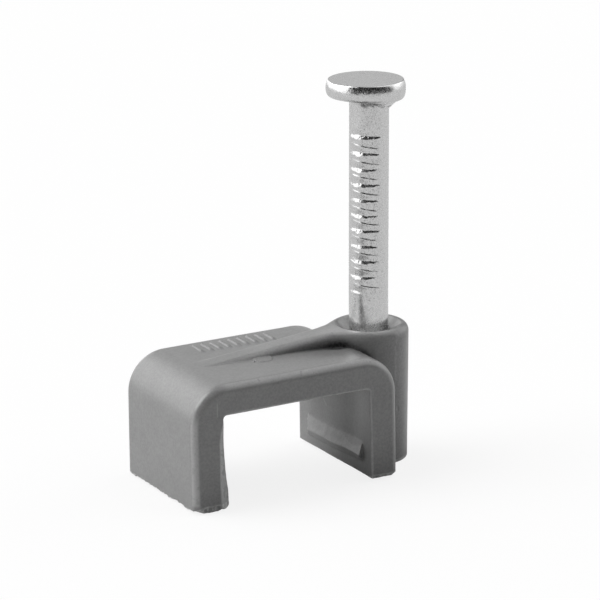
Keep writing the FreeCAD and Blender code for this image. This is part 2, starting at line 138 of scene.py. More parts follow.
def clip_field(x, y, z):
    x, y, z = (np.asarray(c, F) for c in (x, y, z))
    wave = F(0.012) + noise(x, y, z, 2.6, 11) * F(0.010)
    # bridge and legs
    middle, reach = (LEFT + RIGHT) / 2, (RIGHT - LEFT) / 2
    corner = np.where(x < middle, F(2.00), F(1.93) + F(0.28) * ramp(y, 0.8, 3.6))
    top = F(HIGH) + (x + F(6.5)) * F(0.009) + F(0.008)
    outer = meet(np.abs(x - F(middle)) - F(reach), z - top, corner) + wave
    depth = np.abs(y) - (F(HALF) - z * F(TAPER))
    side_round = F(0.42) - F(0.01) * ramp(x, -4.0, -0.8)
    d = meet(outer, depth, side_round)
    # channel
    wall_a, wall_b = plain_wall(z), nail_wall(y, z)
    ceiling = F(CEILING) - F(0.045) * ramp(-x, 5.0, 10.0)
    channel = meet(np.maximum(wall_a - x, x - wall_b), z - ceiling, F(0.20))
    down = ramp(-z, -(CEILING - 0.15), -(CEILING - 0.9))
    d = meet(d, -channel, F(0.11))
    cut = ramp(-x, 9.0, 9.4) * down * (F(0.16) + F(0.14) * ramp(-z, -4.2, -3.2) + F(0.30) * ramp(-z, -3.2, -0.2))
    d = meet(d, F(0.6) * (cut - channel) + F(0.8) * depth, F(0.04))
    # nail boss, and the ridge that runs off its rim down to nothing on the bridge
    rho = np.hypot(x, y)
    side = rho - (F(1.915) + F(0.105) * z / F(BOSS_TOP)) + wave * F(0.5)
    crest = np.minimum(F(BOSS_TOP), F(HIGH - 0.03) + (x + F(9.40)) * F(0.73 / 6.95))
    drop = np.clip(crest - z, 0, 0.9)
    flare = F(0.018) * np.clip(x + F(5.8), 0, 4.4) ** 2 * (y < 0)
    strip = np.abs(y) - (F(0.71) + F(0.15) * drop + flare)
    strip = np.maximum(strip, np.maximum(F(5.2) - z, np.maximum(x + F(0.4), F(-9.8) - x)))
    body = join(strip, side, F(0.95))
    crown = F(0.34) + F(0.08) * ramp(-rho, -2.8, -2.0)
    body = meet(body, z - np.where(rho < 2.2, F(BOSS_TOP), crest), crown)
    d = join(d, body, F(0.05))
    # plain raised bars on the bridge, and the moulding vestige at the foot of the ridge
    for i, bx in enumerate(BARS):
        lean = (y - F(2.25)) * F(0.012)
        bar = meet(np.abs(x - F(bx + 0.075) - lean) - F(0.085), np.abs(y - F(2.25)) - F(0.65), F(0.08))
        stand = F(0.090 + 0.010 * math.sin(i * 2.1)) * ramp(y, 1.56, 2.0)
        bar = meet(bar, z - F(HIGH - 0.02) - stand - (x + F(6.5)) * F(0.009), F(0.04))
        bar = np.maximum(bar, F(5.9) - z)
        d = join(d, bar, F(0.05))
    spot = meet(np.hypot(x + F(6.50), y + F(0.86)) - F(0.50), z - F(HIGH + 0.045), F(0.06))
    d = join(d, np.maximum(spot, F(5.9) - z), F(0.03))
    d = join(d, blob(x, y, z, (-7.06, -1.02, HIGH + 0.01), (0.06, 0.06, 0.05)), F(0.02))
    # retaining ribs low in the channel
    nick = noise(x, y, z, 0.35, 21) * F(0.010)
    for wall, way in ((wall_b, 1.0), (wall_a, -1.0)):
        u = (wall - x) * F(way)                                    # out of the wall, into the channel
        tilt = y * F(-0.012)
        upper = (u * F(0.9596)) + (z - F(1.81) - tilt) * F(0.2815)
        lower = (u * F(0.853)) - (z - F(0.68) - tilt * F(2.2)) * F(0.5214)
        run = np.abs(y) - (F(2.74) + u * F(0.1))
        rib = meet(meet(upper, lower, F(0.02)) + nick, run, F(0.025))
        rib = np.maximum(rib, -u - F(0.4))
        if way > 0:                                                # its far end is chipped, its face pitted
            rib = np.maximum(rib, -blob(x, y, z, (-2.32, 2.92, 1.13), (0.34, 0.42, 0.5)))
            for py, pz in ((-0.55, 1.30), (-0.9, 1.13), (-1.05, 1.26)):
                rib = np.maximum(rib, -blob(x, y, z, (-2.2, py, pz), (0.05, 0.06, 0.04)))
        d = join(d, rib, F(0.02))
    # small dents and a scuff that the mould left
    d = np.maximum(d, -blob(x, y, z, (-11.85, -3.50, 3.48), (0.05, 0.16, 0.05)))
    d = meet(d, -blob(x, y, z, (0.60, -1.92, 2.86), (0.05, 0.07, 0.15)), F(0.05))
    d = join(d, blob(x, y, z, (-10.51, -3.700, 5.14), (0.025, 0.028, 0.40)), F(0.02))
    # bore: the guide, opening in a countersink to the rim. It is a little oval towards the side that the nail leans to.
    slide = np.clip(x * F(0.877) - y * F(0.481), 0, 0.088)
    sunk = (rho - F(1.66)) * F(MOUTH_DEPTH / math.hypot(MOUTH_DEPTH, 0.63)) \
        - (z - F(BOSS_TOP)) * F(0.63 / math.hypot(MOUTH_DEPTH, 0.63))
    guide = np.hypot(x - slide * F(0.877), y + slide * F(0.481)) - F(1.04)
    hole = join(guide, np.maximum(sunk, F(5.0) - z), F(0.10))
    d = meet(d, -hole, F(0.08))
    # feet: the plain leg was broken off a runner and left ragged. Its front corner and the boss reach furthest down.
    plain = ramp(-x, 8.0, 9.0)
    rag = noise(x, y, z * F(0.3), 0.23, 31, 3)
    low = F(0.125) + rag * (F(0.018) + F(0.105) * plain) - F(0.04) * ramp(y, 1.0, 3.6) * plain
    front = ramp(-y, 2.6, 3.45)
    low = low - F(0.14) * front * (ramp(x, -11.75, -11.1) * ramp(-x, 9.55, 10.1))
    low = low + F(0.02) * front * ramp(-x, 11.35, 11.75)
    low = low - F(0.13) * ramp(x, -0.75, -0.3)
    edge = np.maximum(-d, 0)                                      # depth under the side walls
    worn = np.exp(-(edge / F(0.10)) ** 2) * (F(0.03) + F(0.03) * plain
                                             * noise(x, y, z * F(0.2), 0.9, 37, 2))
    corner_cut = ramp(x, -0.95, -0.47) * ramp(-y, 3.1, 3.7) * F(0.16)
    low = np.maximum(low + worn + corner_cut, F(0.004))
    # the broken faces stand back from the fronts of both feet
    line, deep = tear(x, y, z)
    crumbs = noise(x, y, z, 0.12, 83, 3)
    into = np.clip((line - z) / F(0.09), 0, 1) * deep * (F(1.0) + F(0.8) * crumbs)
    d = np.maximum(d, -y - (F(HALF) - z * F(TAPER) - into))
    d = meet(d, low - z, F(0.03))
    return d


def surface(field, axes):
    """Meshes a field by surface nets: one vertex in each cell that the surface crosses, then moved onto the surface."""
    nx, ny, nz = (len(a) for a in axes)
    volume = np.empty((nx, ny, nz), F)
    slab = 24
    for i in range(0, nx, slab):
        xs = axes[0][i:i + slab][:, None, None]
        volume[i:i + slab] = field(np.broadcast_to(xs, (xs.shape[0], ny, nz)),
                                   np.broadcast_to(axes[1][None, :, None], (xs.shape[0], ny, nz)),
                                   np.broadcast_to(axes[2][None, None, :], (xs.shape[0], ny, nz)))
    inside = volume < 0
    count = np.zeros((nx - 1, ny - 1, nz - 1), np.int8)
    offsets = [(a, b, c) for a in (0, 1) for b in (0, 1) for c in (0, 1)]
    for a, b, c in offsets:
        count += inside[a:nx - 1 + a, b:ny - 1 + b, c:nz - 1 + c]
    cells = np.argwhere((count > 0) & (count < 8))
    index = np.full(count.shape, -1, np.int32)
    index[tuple(cells.T)] = np.arange(len(cells), dtype=np.int32)
    corner = np.stack([volume[cells[:, 0] + a, cells[:, 1] + b, cells[:, 2] + c] for a, b, c in offsets], 1)
    where = np.zeros((len(cells), 3), F)
    hits = np.zeros(len(cells), F)
    for p in range(8):
        for q in range(p + 1, 8):
            gap = np.abs(np.subtract(offsets[p], offsets[q]))
            if gap.sum() != 1:
                continue
            va, vb = corner[:, p], corner[:, q]
            cut = (va < 0) != (vb < 0)
            t = np.where(cut, va / np.where(cut, va - vb, 1), 0)
            for k in range(3):
                where[:, k] += np.where(cut, offsets[p][k] + t * (offsets[q][k] - offsets[p][k]), 0)
            hits += cut
    where /= hits[:, None]
    points = np.stack([axes[k][cells[:, k]] + where[:, k] * (axes[k][cells[:, k] + 1] - axes[k][cells[:, k]])
                       for k in range(3)], 1)
    quads = []
    for k in range(3):
        o1, o2 = (k + 1) % 3, (k + 2) % 3
        a = [slice(None)] * 3
        b = [slice(None)] * 3
        a[k], b[k] = slice(0, -1), slice(1, None)
        for o in (o1, o2):
            a[o] = slice(1, -1)
            b[o] = slice(1, -1)
        sa, sb = inside[tuple(a)], inside[tuple(b)]
        at = np.argwhere(sa != sb)
        out = sa[tuple(at.T)]
        at[:, o1] += 1
        at[:, o2] += 1
        ring = []
        for e1, e2 in ((-1, -1), (0, -1), (0, 0), (-1, 0)):
            cell = at.copy()
            cell[:, o1] += e1
            cell[:, o2] += e2
            ring.append(index[tuple(cell.T)])
        ring = np.stack(ring, 1)
        ring[~out] = ring[~out][:, ::-1]
        quads.append(ring)
    quads = np.concatenate(quads)
    return settle(field, points, 2), quads


def slope_of(field, p, e=0.012):
    g = np.stack([field(p[:, 0] + F(e * (k == 0)), p[:, 1] + F(e * (k == 1)), p[:, 2] + F(e * (k == 2)))
                  - field(p[:, 0] - F(e * (k == 0)), p[:, 1] - F(e * (k == 1)), p[:, 2] - F(e * (k == 2)))
                  for k in range(3)], 1) / F(2 * e)
    return g


def settle(field, points, rounds, reach=0.03):
    for _ in range(rounds):
        d = field(points[:, 0], points[:, 1], points[:, 2])
        g = slope_of(field, points)
        size = np.maximum((g * g).sum(1), 0.3)
        move = -(d / size)[:, None] * g
        length = np.linalg.norm(move, axis=1, keepdims=True)
        move *= np.minimum(1, reach / np.maximum(length, 1e-9))
        points = points + move
    return points


def mesh_object(name, points, faces):
    """faces: a list of arrays, each with one row of vertex numbers per face."""
    mesh = bpy.data.meshes.new(name)
    mesh.vertices.add(len(points))
    mesh.vertices.foreach_set("co", (np.asarray(points, np.float64) * MM).astype(F).ravel())
    loops = np.concatenate([f.ravel() for f in faces]).astype(np.int32)
    sizes = np.concatenate([np.full(len(f), f.shape[1], np.int32) for f in faces])
    starts = np.concatenate([[0], np.cumsum(sizes)[:-1]]).astype(np.int32)
    mesh.loops.add(len(loops))
    mesh.loops.foreach_set("vertex_index", loops)
    mesh.polygons.add(len(sizes))
    mesh.polygons.foreach_set("loop_start", starts)
    mesh.update(calc_edges=True)
    mesh.validate(verbose=False)
    obj = bpy.data.objects.new(name, mesh)
    bpy.context.scene.collection.objects.link(obj)
    return obj


def apply_modifiers(obj):
    graph = bpy.context.evaluated_depsgraph_get()
    mesh = bpy.data.meshes.new_from_object(obj.evaluated_get(graph))
    old = obj.data
    obj.modifiers.clear()
    obj.data = mesh
    mesh.name = obj.name
    bpy.data.meshes.remove(old)


def points_of(mesh):
    co = np.empty(len(mesh.vertices) * 3, F)
    mesh.vertices.foreach_get("co", co)
    return co.reshape(-1, 3) / F(MM)


def smooth(mesh):
    mesh.polygons.foreach_set("use_smooth", np.ones(len(mesh.polygons), bool))
    mesh.update()


def paint(mesh, name, values):
    layer = mesh.attributes.new(name, "FLOAT", "POINT")
    layer.data.foreach_set("value", np.clip(values, 0, 1).astype(F))


# ------------------------------------------------------------------------------------------------ clip


def spaced(*spans):
    """Grid lines: spans of (start, end, step), closer together where the shape has finer detail."""
    scale = 1.055
    lines = [np.linspace(u, v, max(2, int(round((v - u) / (step * scale))) + 1))[:-1] for u, v, step in spans]
    return np.concatenate(lines + [[spans[-1][1]]]).astype(F)


GRID = [
    spaced((-12.05, -9.95, 0.078), (-9.95, -9.45, 0.060), (-9.45, -8.7, 0.075), (-8.7, -4.2, 0.060),
           (-4.2, -2.3, 0.075), (-2.3, -0.3, 0.062), (-0.3, 2.2, 0.070)),
    spaced((-3.95, -3.30, 0.055), (-3.30, -0.7, 0.077), (-0.7, 1.5, 0.080), (1.5, 3.0, 0.070), (3.0, 3.3, 0.077),
           (3.30, 3.95, 0.062)),
    spaced((-0.12, 0.50, 0.048), (0.50, 1.95, 0.058), (1.95, 4.55, 0.125), (4.55, 5.9, 0.068), (5.9, 7.25, 0.056)),
]
points, quads = surface(clip_field, GRID)
clip = mesh_object("clip_moulding", points, [quads])
p = settle(clip_field, points_of(clip.data), 1, 0.02)
clip.data.vertices.foreach_set("co", (p * F(MM)).ravel())
smooth(clip.data)
g = slope_of(clip_field, p)
g /= np.maximum(np.linalg.norm(g, axis=1, keepdims=True), 1e-6)
clip.data.normals_split_custom_set_from_vertices(g.tolist())
print("clip_moulding: %d vertices, %d faces" % (len(clip.data.vertices), len(clip.data.polygons)))


def edge_masks(p):
    """Painted highlight: paler colour along the channel's front lip, the plain leg's inner-front strip, the rib's lower
    bevel, the mouth's front rim and the brink of the torn faces; and where the feet were torn off the runner.
    """
    x, y, z = p[:, 0], p[:, 1], p[:, 2]
    wall_a, wall_b = plain_wall(z), nail_wall(y, z)
    channel = meet(np.maximum(wall_a - x, x - wall_b), z - F(CEILING), F(0.20))
    depth = np.abs(y) - (F(HALF) - z * F(TAPER))
    line = np.exp(-((channel - F(0.03)) / F(0.05)) ** 2 - (np.minimum(depth + F(0.03), 0) / F(0.06)) ** 2)
    line *= ramp(x, -9.9, -9.0) * (1 + F(0.35) * noise(x, y, z, 0.7, 71, 2))
    height, deep = tear(x, y, z)
    brink = np.exp(-((z - height - F(0.01)) / F(0.035)) ** 2) * (depth > -0.04) * (y < 0) * (deep > 0.02)
    foot = np.where(y < 0, ramp(height - z, -0.02, 0.03) * (deep > 0.01), 0) * (depth > -0.3)
    foot = np.maximum(foot, ramp(-z, -0.22, -0.14))
    cut = ramp(-x, 9.0, 9.4) * ramp(-z, -4.6, -3.9) * (F(0.16) + F(0.14) * ramp(-z, -4.2, -3.2)
                                                       + F(0.30) * ramp(-z, -3.2, -0.2))
    strip = (y < 0) * ramp(F(0.6) * (cut - channel) + F(0.8) * depth, -0.05, -0.01) * ramp(x, -10.9, -10.3) * (x < -9)
    out = np.where(x > F(-6), wall_b - x, x - wall_a)
    bevel = ramp(out, 0.0, 0.04) * ramp(z, 0.62, 0.70) * ramp(-z, -1.86, -1.80) * (np.abs(y) < 2.8) * (x > -10) * (x < -2)
    rho = np.hypot(x, y)
    rim = ramp(z, 6.88, 7.0) * ramp(rho, 1.66, 1.74) * ramp(-y, -1.2, 0.4)
    line = np.maximum(np.maximum(line, strip * F(0.95)), np.maximum(bevel * F(0.33), rim * F(0.46)))
    return np.maximum(line, brink * F(0.8)), foot * (ramp(-x, 8.0, 9.0) + F(0.7) * ramp(x, -3.0, -2.0))


line, foot = edge_masks(p)
rho = np.hypot(p[:, 0], p[:, 1])
# painted shade in the crease where the ridge's foot meets the bridge and the boss; this layer darkens the colour and
# lowers the specular
along = ramp(p[:, 0], -6.4, -2.8)                                      # grows along the ridge's foot towards the boss
foot_y = -(F(0.80) + F(0.018) * np.clip(p[:, 0] + F(5.8), 0, 4.4) ** 2)
bend = np.clip(p[:, 0] + F(2.40), 0, 1.93)
above = p[:, 2] - (F(HIGH - 1.90) + np.sqrt(F(1.93) ** 2 - bend ** 2))  # over the bridge's outer face
beside = np.minimum(rho - F(2.03), np.where(p[:, 0] < -1.2, foot_y - p[:, 1], 9.0))
gap = np.exp(-(np.maximum(above, 0) / (F(0.13) + F(0.25) * along)) ** 2 - (np.minimum(above, 0) / 0.5) ** 2
             - (np.maximum(beside, 0) / (F(0.16) + F(0.22) * along + F(0.20) * ramp(p[:, 0], -3.6, -2.3))) ** 2)
gap *= along * ramp(-p[:, 0], 0.2, 1.3) * ramp(-p[:, 1], 0.2, 0.6)
gap = 0.70 * gap + 0.6 * np.exp(-(((p - np.array([-2.40, -1.25, 6.42], F)) / np.array([0.55, 0.34, 0.22], F)) ** 2).sum(1))
# painted highlight on the front rounds, the ridge's crest and the boss's right side, and painted shade on the bridge
# beside the ridge, on the boss's front and on the front faces, darker towards the bottom
outer = meet(np.abs(p[:, 0] - F((LEFT + RIGHT) / 2)) - F((RIGHT - LEFT) / 2), p[:, 2] - F(HIGH), F(2.0))
facing = -g[:, 1]
round_highlight = ramp(facing, 0.02, 0.40) * ramp(-facing, -1.0, -0.90) * ramp(outer, -0.62, -0.52) * ramp(-p[:, 1], 3.26, 3.38)
round_highlight *= ramp(rho, 2.2, 2.4) * ramp(p[:, 2], 0.30, 0.50) * (1 - F(0.85) * ramp(-p[:, 0], 9.6, 10.5) * ramp(p[:, 2], 4.4, 5.2))
round_highlight *= F(0.50) + F(0.19) * ramp(-g[:, 0], 0.1, 0.5) - F(0.24) * ramp(g[:, 0], 0.1, 0.5)
crest = np.minimum(F(BOSS_TOP), F(HIGH - 0.03) + (p[:, 0] + F(9.40)) * F(0.73 / 6.95))
crest = ramp(p[:, 2] - crest, -0.14, -0.06) * (np.abs(p[:, 1]) < 1.3) * ramp(rho, 2.3, 2.8) * ramp(p[:, 0], -8.5, -6.0)
on_boss = ramp(-rho, -2.45, -2.25) * ramp(-p[:, 2], -6.9, -6.5) * ramp(p[:, 0], -1.6, -0.8) * ramp(rho, 1.8, 1.9)
line = np.maximum(line, np.maximum(np.maximum(round_highlight, F(0.28) * crest), F(0.29) * on_boss * ramp(g[:, 0], 0.35, 0.8)))
# painted shade on the bridge top beside the ridge, fading towards the front edge, and on the corner by the boss
apron = ramp(p[:, 0], -6.0, -3.2) * ramp(-p[:, 1], 0.2, 0.6) \
    * (1 - ramp(beside, 0.9, 2.6)) * np.exp(-(above / 0.35) ** 2) * ramp(-p[:, 0], 0.3, 1.3) * ramp(beside, -0.02, 0.15)
apron = np.maximum(0.36 * apron, 0.36 * np.exp(-(((p - np.array([-1.80, -2.60, 6.20], F))
                                                 / np.array([1.0, 1.0, 0.5], F)) ** 2).sum(1)))
# painted shade on the front faces, darker towards the bottom, and on the boss's front
flat_front = ramp(facing, 0.93, 0.99) * ramp(-p[:, 1], 3.5, 3.6) * (F(0.15) + F(0.12) * ramp(-p[:, 2], -2.6, -0.3))
flat_front = np.maximum(flat_front, F(0.24) * on_boss * ramp(facing, 0.55, 0.95))
gap = np.maximum(gap, np.maximum(apron, flat_front))
# edge layer: painted highlight; torn layer: the feet torn off the runner; last layer: painted shade
paint(clip.data, "edge", line)
paint(clip.data, "torn", foot)
paint(clip.data, "painted_shade", gap)
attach(clip, "clip")
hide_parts("clip_body")

# ------------------------------------------------------------------------------------------------ nail
# Rings from the head's crown down to the point. Angles are about the nail's axis; FACE is the side that the gripper
# marks lie beside.
NAIL_TOP, NAIL_TIP = 19.50, 1.00
SHANK = 0.988
FACE = 241.5
FINE = 1.5                                       # degrees between columns over the marks
GRIP = [(16.764, 1.35), (15.908, 1.0), (15.082, 1.0), (14.325, 0.95), (13.546, 0.9), (12.729, 0.95), (11.972, 0.9),
        (11.181, 0.95), (10.394, 0.9), (9.568, 0.8), (8.809, 0.5)]
GRIP_TOP = [None, 16.29, 15.48, 14.72, 13.93, 13.115, 12.40, 11.605, 10.83, 10.00, 9.17]


def turned(a):
    """Angle from FACE, -180 to 180 degrees."""
    return (np.degrees(a) - FACE + 180.0) % 360.0 - 180.0


def grip_depth(a, z, other):
    """How far the gripper dies pressed the shank in (mm, positive inwards), with the burrs that they raised."""
    seed = 50 if other else 40
    rel = turned(a) - (180.0 if other else 0.0)
    rel = (rel + 180.0) % 360.0 - 180.0
    arc = np.radians(rel) * SHANK
    flat = np.zeros_like(z)
    jig = noise(arc, flat, z * 0.8, 0.10, seed, 3)
    rough = noise(arc, flat + 2.0, z, 0.26, seed + 4, 2)
    total = np.zeros_like(z)
    for i, (zi, force) in enumerate(GRIP):
        left = -74.0 + 3.0 * math.sin(i * 1.7 + 1.0)
        right = 31.0 + 5.0 * math.sin(i * 2.3 + 0.4) + (3.0 if i == 0 else 0.0)
        if i >= 9:
            right = (24.0, -20.0)[i - 9]
        middle, half = (left + right) / 2, (right - left) / 2
        span = np.clip(1 - ((rel - middle) / half) ** 2, 0, 1)
        window = np.clip(span ** 0.75 * (1 + 0.75 * rough + 0.25 * jig), 0, 1.15)
        burr = GRIP_TOP[i] if GRIP_TOP[i] else zi + 0.40
        burr = burr - (rel + 27.0) / 50.0 * 0.14
        wide = ramp(-rel, 12, 40)
        width = 0.030 + 0.062 * window * min(force, 1.0) * (1 + 0.70 * wide)
        u = z - zi + jig * 0.045 + 0.055 * (1 - span) * math.sin(i * 1.9 + 0.7)
        depth = 0.053 * force * window * (1 + 0.16 * wide)
        rise = 1 - ramp_to(u, -width, width)                       # lower flank, facing up
        fall = ramp(z - burr + jig * 0.020 - 0.03 * np.sin(np.radians(rel * 2.2)), -0.36, -0.02)          # upper flank, facing down
        cut = depth * (1 - np.maximum(rise, fall))
        lip = np.exp(-((u + width + 0.03) / 0.045) ** 2) * 0.006 * force * window
        if i:                                                      # the burr above the groove is a thin step
            weak = np.clip(1 - ((rel + 14.0 + 4.0 * math.sin(i * 2.9)) / 47.0) ** 2, 0, 1) ** 0.5
            weak = weak * np.clip(1 + 0.9 * rough, 0.1, 2)
            edge = z - burr + jig * 0.020 - 0.006
            total -= np.exp(-(np.maximum(edge, 0) / 0.030) ** 2 - (np.minimum(edge, 0) / 0.10) ** 2) * 0.0165 * weak
        total += cut - lip
    return total


def nail_rings():
    top, rows = NAIL_TOP, []
    a = np.radians(FACE + np.concatenate([np.arange(-81, 39, FINE), np.arange(39, 99, 2 * FINE),
                                          np.arange(99, 219, FINE), np.arange(219, 279, 2 * FINE)]))
    rel = turned(a)
    cone = ramp(rel, -30, 50) * ramp(-rel, -165, -118)             # metal left under one side of the head
    reach = 1.22 + 0.26 * ramp(rel, 0, 75)
    head = np.array([-0.075 * 0.877, 0.075 * 0.481])
    ones = np.ones(len(a))

    def row(r, z, bend=0.0):
        rows.append((r * ones, z * ones, bend * ones))

    for r in (0.15, 0.35, 0.6, 0.85, 1.05):
        row(r, top)
    for k in range(11):
        row(1.12 + 0.026 * k, top)
    for r in (1.5, 1.62, 1.72, 1.79, 1.83):
        row(r, top)
    for k in range(1, 8):                                          # crown edge
        t = k / 7 * math.radians(66)
        row(1.838 + 0.065 * math.sin(t), top - 0.065 * (1 - math.cos(t)))
    r0, z0 = 1.838 + 0.065 * math.sin(math.radians(66)), -0.065 * (1 - math.cos(math.radians(66)))
    for k in range(1, 13):                                         # rim, flaring to its widest
        t = k / 12
        row(r0 + (1.980 - r0) * math.sin(t * math.pi / 2) ** 0.9, top + z0 - (0.43 + z0) * t)
    low_z = 0.80 + 0.13 * cone                                     # lower rim, then the underside
    low_r = 1.80 + 0.02 * cone
    for k in range(1, 13):
        t = k / 12 * math.pi / 2
        r = low_r + (1.980 - low_r) * math.cos(t) ** 0.9
        z = top - 0.43 - (low_z - 0.43) * math.sin(t)
        rows.append((r, z, 0 * ones))
    for k in range(1, 19):
        t = math.sin(k / 18 * math.pi / 2)
        r = low_r + (SHANK - low_r) * t
        flat = low_z + 0.02 * t + 0.06 * max(t - 0.86, 0) ** 2 / 0.0196
        tapered = low_z + (reach - low_z) * (0.74 * t + 0.26 * (1 - math.sqrt(max(1 - t * t, 0))))
        rows.append((r, top - (flat * (1 - cone) + tapered * cone), ones * ramp(t, 0.2, 1.0)))
    start = rows[-1][1]
    stop = 17.35
    for k in range(1, 11):
        t = k / 10
        rows.append((SHANK * ones, start * (1 - t) + stop * t, ones))
    z = stop
    fine, coarse = ((0.028, 0.11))
    while z > 3.3:
        z -= fine if 8.55 < z < 17.3 else coarse
        row(SHANK, z, 1.0)
    for k in range(1, 11):                                         # four-sided point
        t = k / 10
        square = SHANK / np.maximum(np.abs(np.cos(a - 0.5)), np.abs(np.sin(a - 0.5)))
        body = SHANK * (1 - 0.93 * t ** 1.15)
        r = np.minimum(SHANK, body * (1 + (square / SHANK - 1) * min(1, 2.2 * t)))
        rows.append((r, (3.25 + (NAIL_TIP - 3.25) * t) * ones, ones))
    return a, head, rows


def build_nail():
    a, head, rows = nail_rings()
    r = np.stack([q[0] for q in rows])
    z = np.stack([q[1] for q in rows])
    bend = np.stack([q[2] for q in rows])
    A = np.broadcast_to(a, r.shape)
    depth = grip_depth(A, z, False) + grip_depth(A, z, True) * 0.9
    on_shank = (bend > 0.99) & (z < 17.9)
    x0, y0 = r * np.cos(A), r * np.sin(A)
    skin = noise(x0, y0, z, 0.09, 61) * 0.0011 + noise(x0, y0, z * 0.6, 0.45, 62, 2) * 0.0028
    rim = (z > 18.5) * noise(x0, y0, z, 0.22, 63, 2) * 0.0045 * (r > 1.84)
    r = r - np.where(on_shank, depth, 0) + skin * (z > 3.3) + rim
    crown = (z > NAIL_TOP - 0.001)
    away = np.radians(FACE + 180.0)
    cx, cy = 1.24 * math.cos(away) - 0.03, 1.24 * math.sin(away) + 0.05
    mark = np.exp(-(((x0 - cx) * 0.877 - (y0 - cy) * 0.481) / 0.13) ** 2
                  - (((x0 - cx) * 0.481 + (y0 - cy) * 0.877) / 0.06) ** 2)
    z = z - crown * (0.006 * mark + 0.0015 * (1 + noise(x0, y0, z, 0.5, 64)))
    lean = 0.0092 * np.maximum(z - 8.6, 0) * bend
    X = r * np.cos(A) + head[0] * (1 - bend) + lean * 0.877
    Y = r * np.sin(A) + head[1] * (1 - bend) - lean * 0.481
    points = np.stack([X, Y, z], -1).reshape(-1, 3)
    n, m = r.shape
    i = np.arange(n - 1)[:, None] * m
    j = np.arange(m)[None, :]
    k = (j + 1) % m
    quads = np.stack([i + j, i + m + j, i + m + k, i + k], -1).reshape(-1, 4)
    crown_at, tip_at = len(points), len(points) + 1
    points = np.vstack([points, [[head[0], head[1], NAIL_TOP - 0.0015], [0, 0, NAIL_TIP]]])
    j, k = np.arange(m), (np.arange(m) + 1) % m
    cap = np.stack([np.full(m, crown_at), j, k], 1)
    last = (n - 1) * m
    tip = np.stack([np.full(m, tip_at), last + k, last + j], 1)
    nail = mesh_object("nail_zinc", points, [quads, cap, tip])
    smooth(nail.data)
    rel = turned(np.arctan2(Y - head[1] * (1 - bend), X - head[0] * (1 - bend))).ravel()
    high = z.ravel()
    front = np.exp(-((rel - 4.0) / 34.0) ** 2)
    back = np.exp(-((np.abs(rel) - 180.0) / 34.0) ** 2)
    mottle = 0.5 + 1.1 * noise(rel * 0.017, high * 0, high, 0.085, 91, 2)
    wander = high + 0.03 * noise(rel * 0.017, high * 0 + 3.0, high, 0.12, 95, 2)
    patchy = np.clip(0.95 + 0.85 * noise(rel * 0.017, high * 0 + 5.0, high, 0.075, 93, 2), 0.40, 1.4)
    # painted shade and painted dark reflections: the front of the neck under the head, a shadow line under the rim, a
    # dark streak down the shank below the marks, and the front of the rim's lower lip; the crown's dent mark and a spot
    # on the cone under the head are darker marks
    neck = ramp(wander, 18.25, 18.33) * ramp(-wander, -18.66, -18.52) * np.exp(-((rel - 2.0) / 27.0) ** 4)
    under = ramp(high, 18.38, 18.43) * (high < 18.69) * ramp(rel, -88, -70) * ramp(-rel, 18, 26) * (r.ravel() < 1.2)
    low = np.clip(8.84 - high, 0, 1.5)
    streak = np.exp(-((rel + 26.0 - 5.0 * low) / (3.0 + 4.6 * low)) ** 4) * ramp(-high, -8.86, -8.78) * (high > 6.9)
    grit = np.exp(-((rel + 2.0) / 36.0) ** 4) * ramp(high, 18.95, 19.05) * (high < 19.46) * (r.ravel() > 1.86)
    lip = ramp(wander, 18.66, 18.70) * (high < 18.79) * (r.ravel() > 1.5) * np.exp(-((rel - 0.0) / 24.0) ** 4)
    spot = np.exp(-((rel - 58.0) / 9.0) ** 2 - ((high - 18.27) / 0.06) ** 2) * (r.ravel() > 1.05)
    marks_and_painted_shade = np.maximum(np.maximum(neck * patchy, under * 0.5), streak * (0.21 + 0.36 * mottle))
    marks_and_painted_shade = np.maximum(np.maximum(marks_and_painted_shade, (crown * mark).ravel() * 0.42), np.maximum(lip * patchy * 0.55, spot * patchy))
    ends = [0.0, 0.0]
    paint(nail.data, "scuff", np.concatenate([np.maximum(front, back) * (high < 18.4) * (high > 8.4), ends]))
    paint(nail.data, "marks_and_painted_shade", np.concatenate([marks_and_painted_shade, ends]))
    paint(nail.data, "grit", np.concatenate([grit, ends]))
    print("nail_zinc: %d vertices, %d faces" % (len(nail.data.vertices), len(nail.data.polygons)))
    return nail


nail = build_nail()
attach(nail, "nail")
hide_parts("nail")

# ------------------------------------------------------------------------------------------------ camera
camera_data = bpy.data.cameras.new("camera")
camera = bpy.data.objects.new("camera", camera_data)
bpy.context.scene.collection.objects.link(camera)
right = Vector((0.87684055, -0.48064442, -0.0114715))
up = Vector((0.14349697, 0.23886018, 0.96039285))
back = Vector((-0.45886738, -0.84375752, 0.27841331))
turn = Matrix((right, up, back)).transposed()
camera.matrix_world = Matrix.Translation(Vector((-79.8876, -139.7112, 54.8521)) * MM) @ turn.to_4x4()
camera_data.sensor_width = 36.0
camera_data.lens = 200.52
camera_data.clip_start = 0.01
camera_data.clip_end = 50.0
bpy.context.scene.camera = camera

# ------------------------------------------------------------------------------------------------ materials


def new_material(name):
    material = bpy.data.materials.new(name)
    material.use_nodes = True
    tree = material.node_tree
    tree.nodes.clear()
    return material, tree


def grain(tree, where, scale, detail, squash=None):
    """Noise in the object's own coordinates; scale is features per metre."""
    node = tree.nodes.new("ShaderNodeTexNoise")
    node.inputs["Scale"].default_value = scale
    node.inputs["Detail"].default_value = detail
    node.inputs["Roughness"].default_value = 0.55
    source = where.outputs["Object"]
    if squash:
        stretch = tree.nodes.new("ShaderNodeMapping")
        stretch.inputs["Scale"].default_value = squash
        tree.links.new(source, stretch.inputs["Vector"])
        source = stretch.outputs["Vector"]
    tree.links.new(source, node.inputs["Vector"])
    return node.outputs[0]


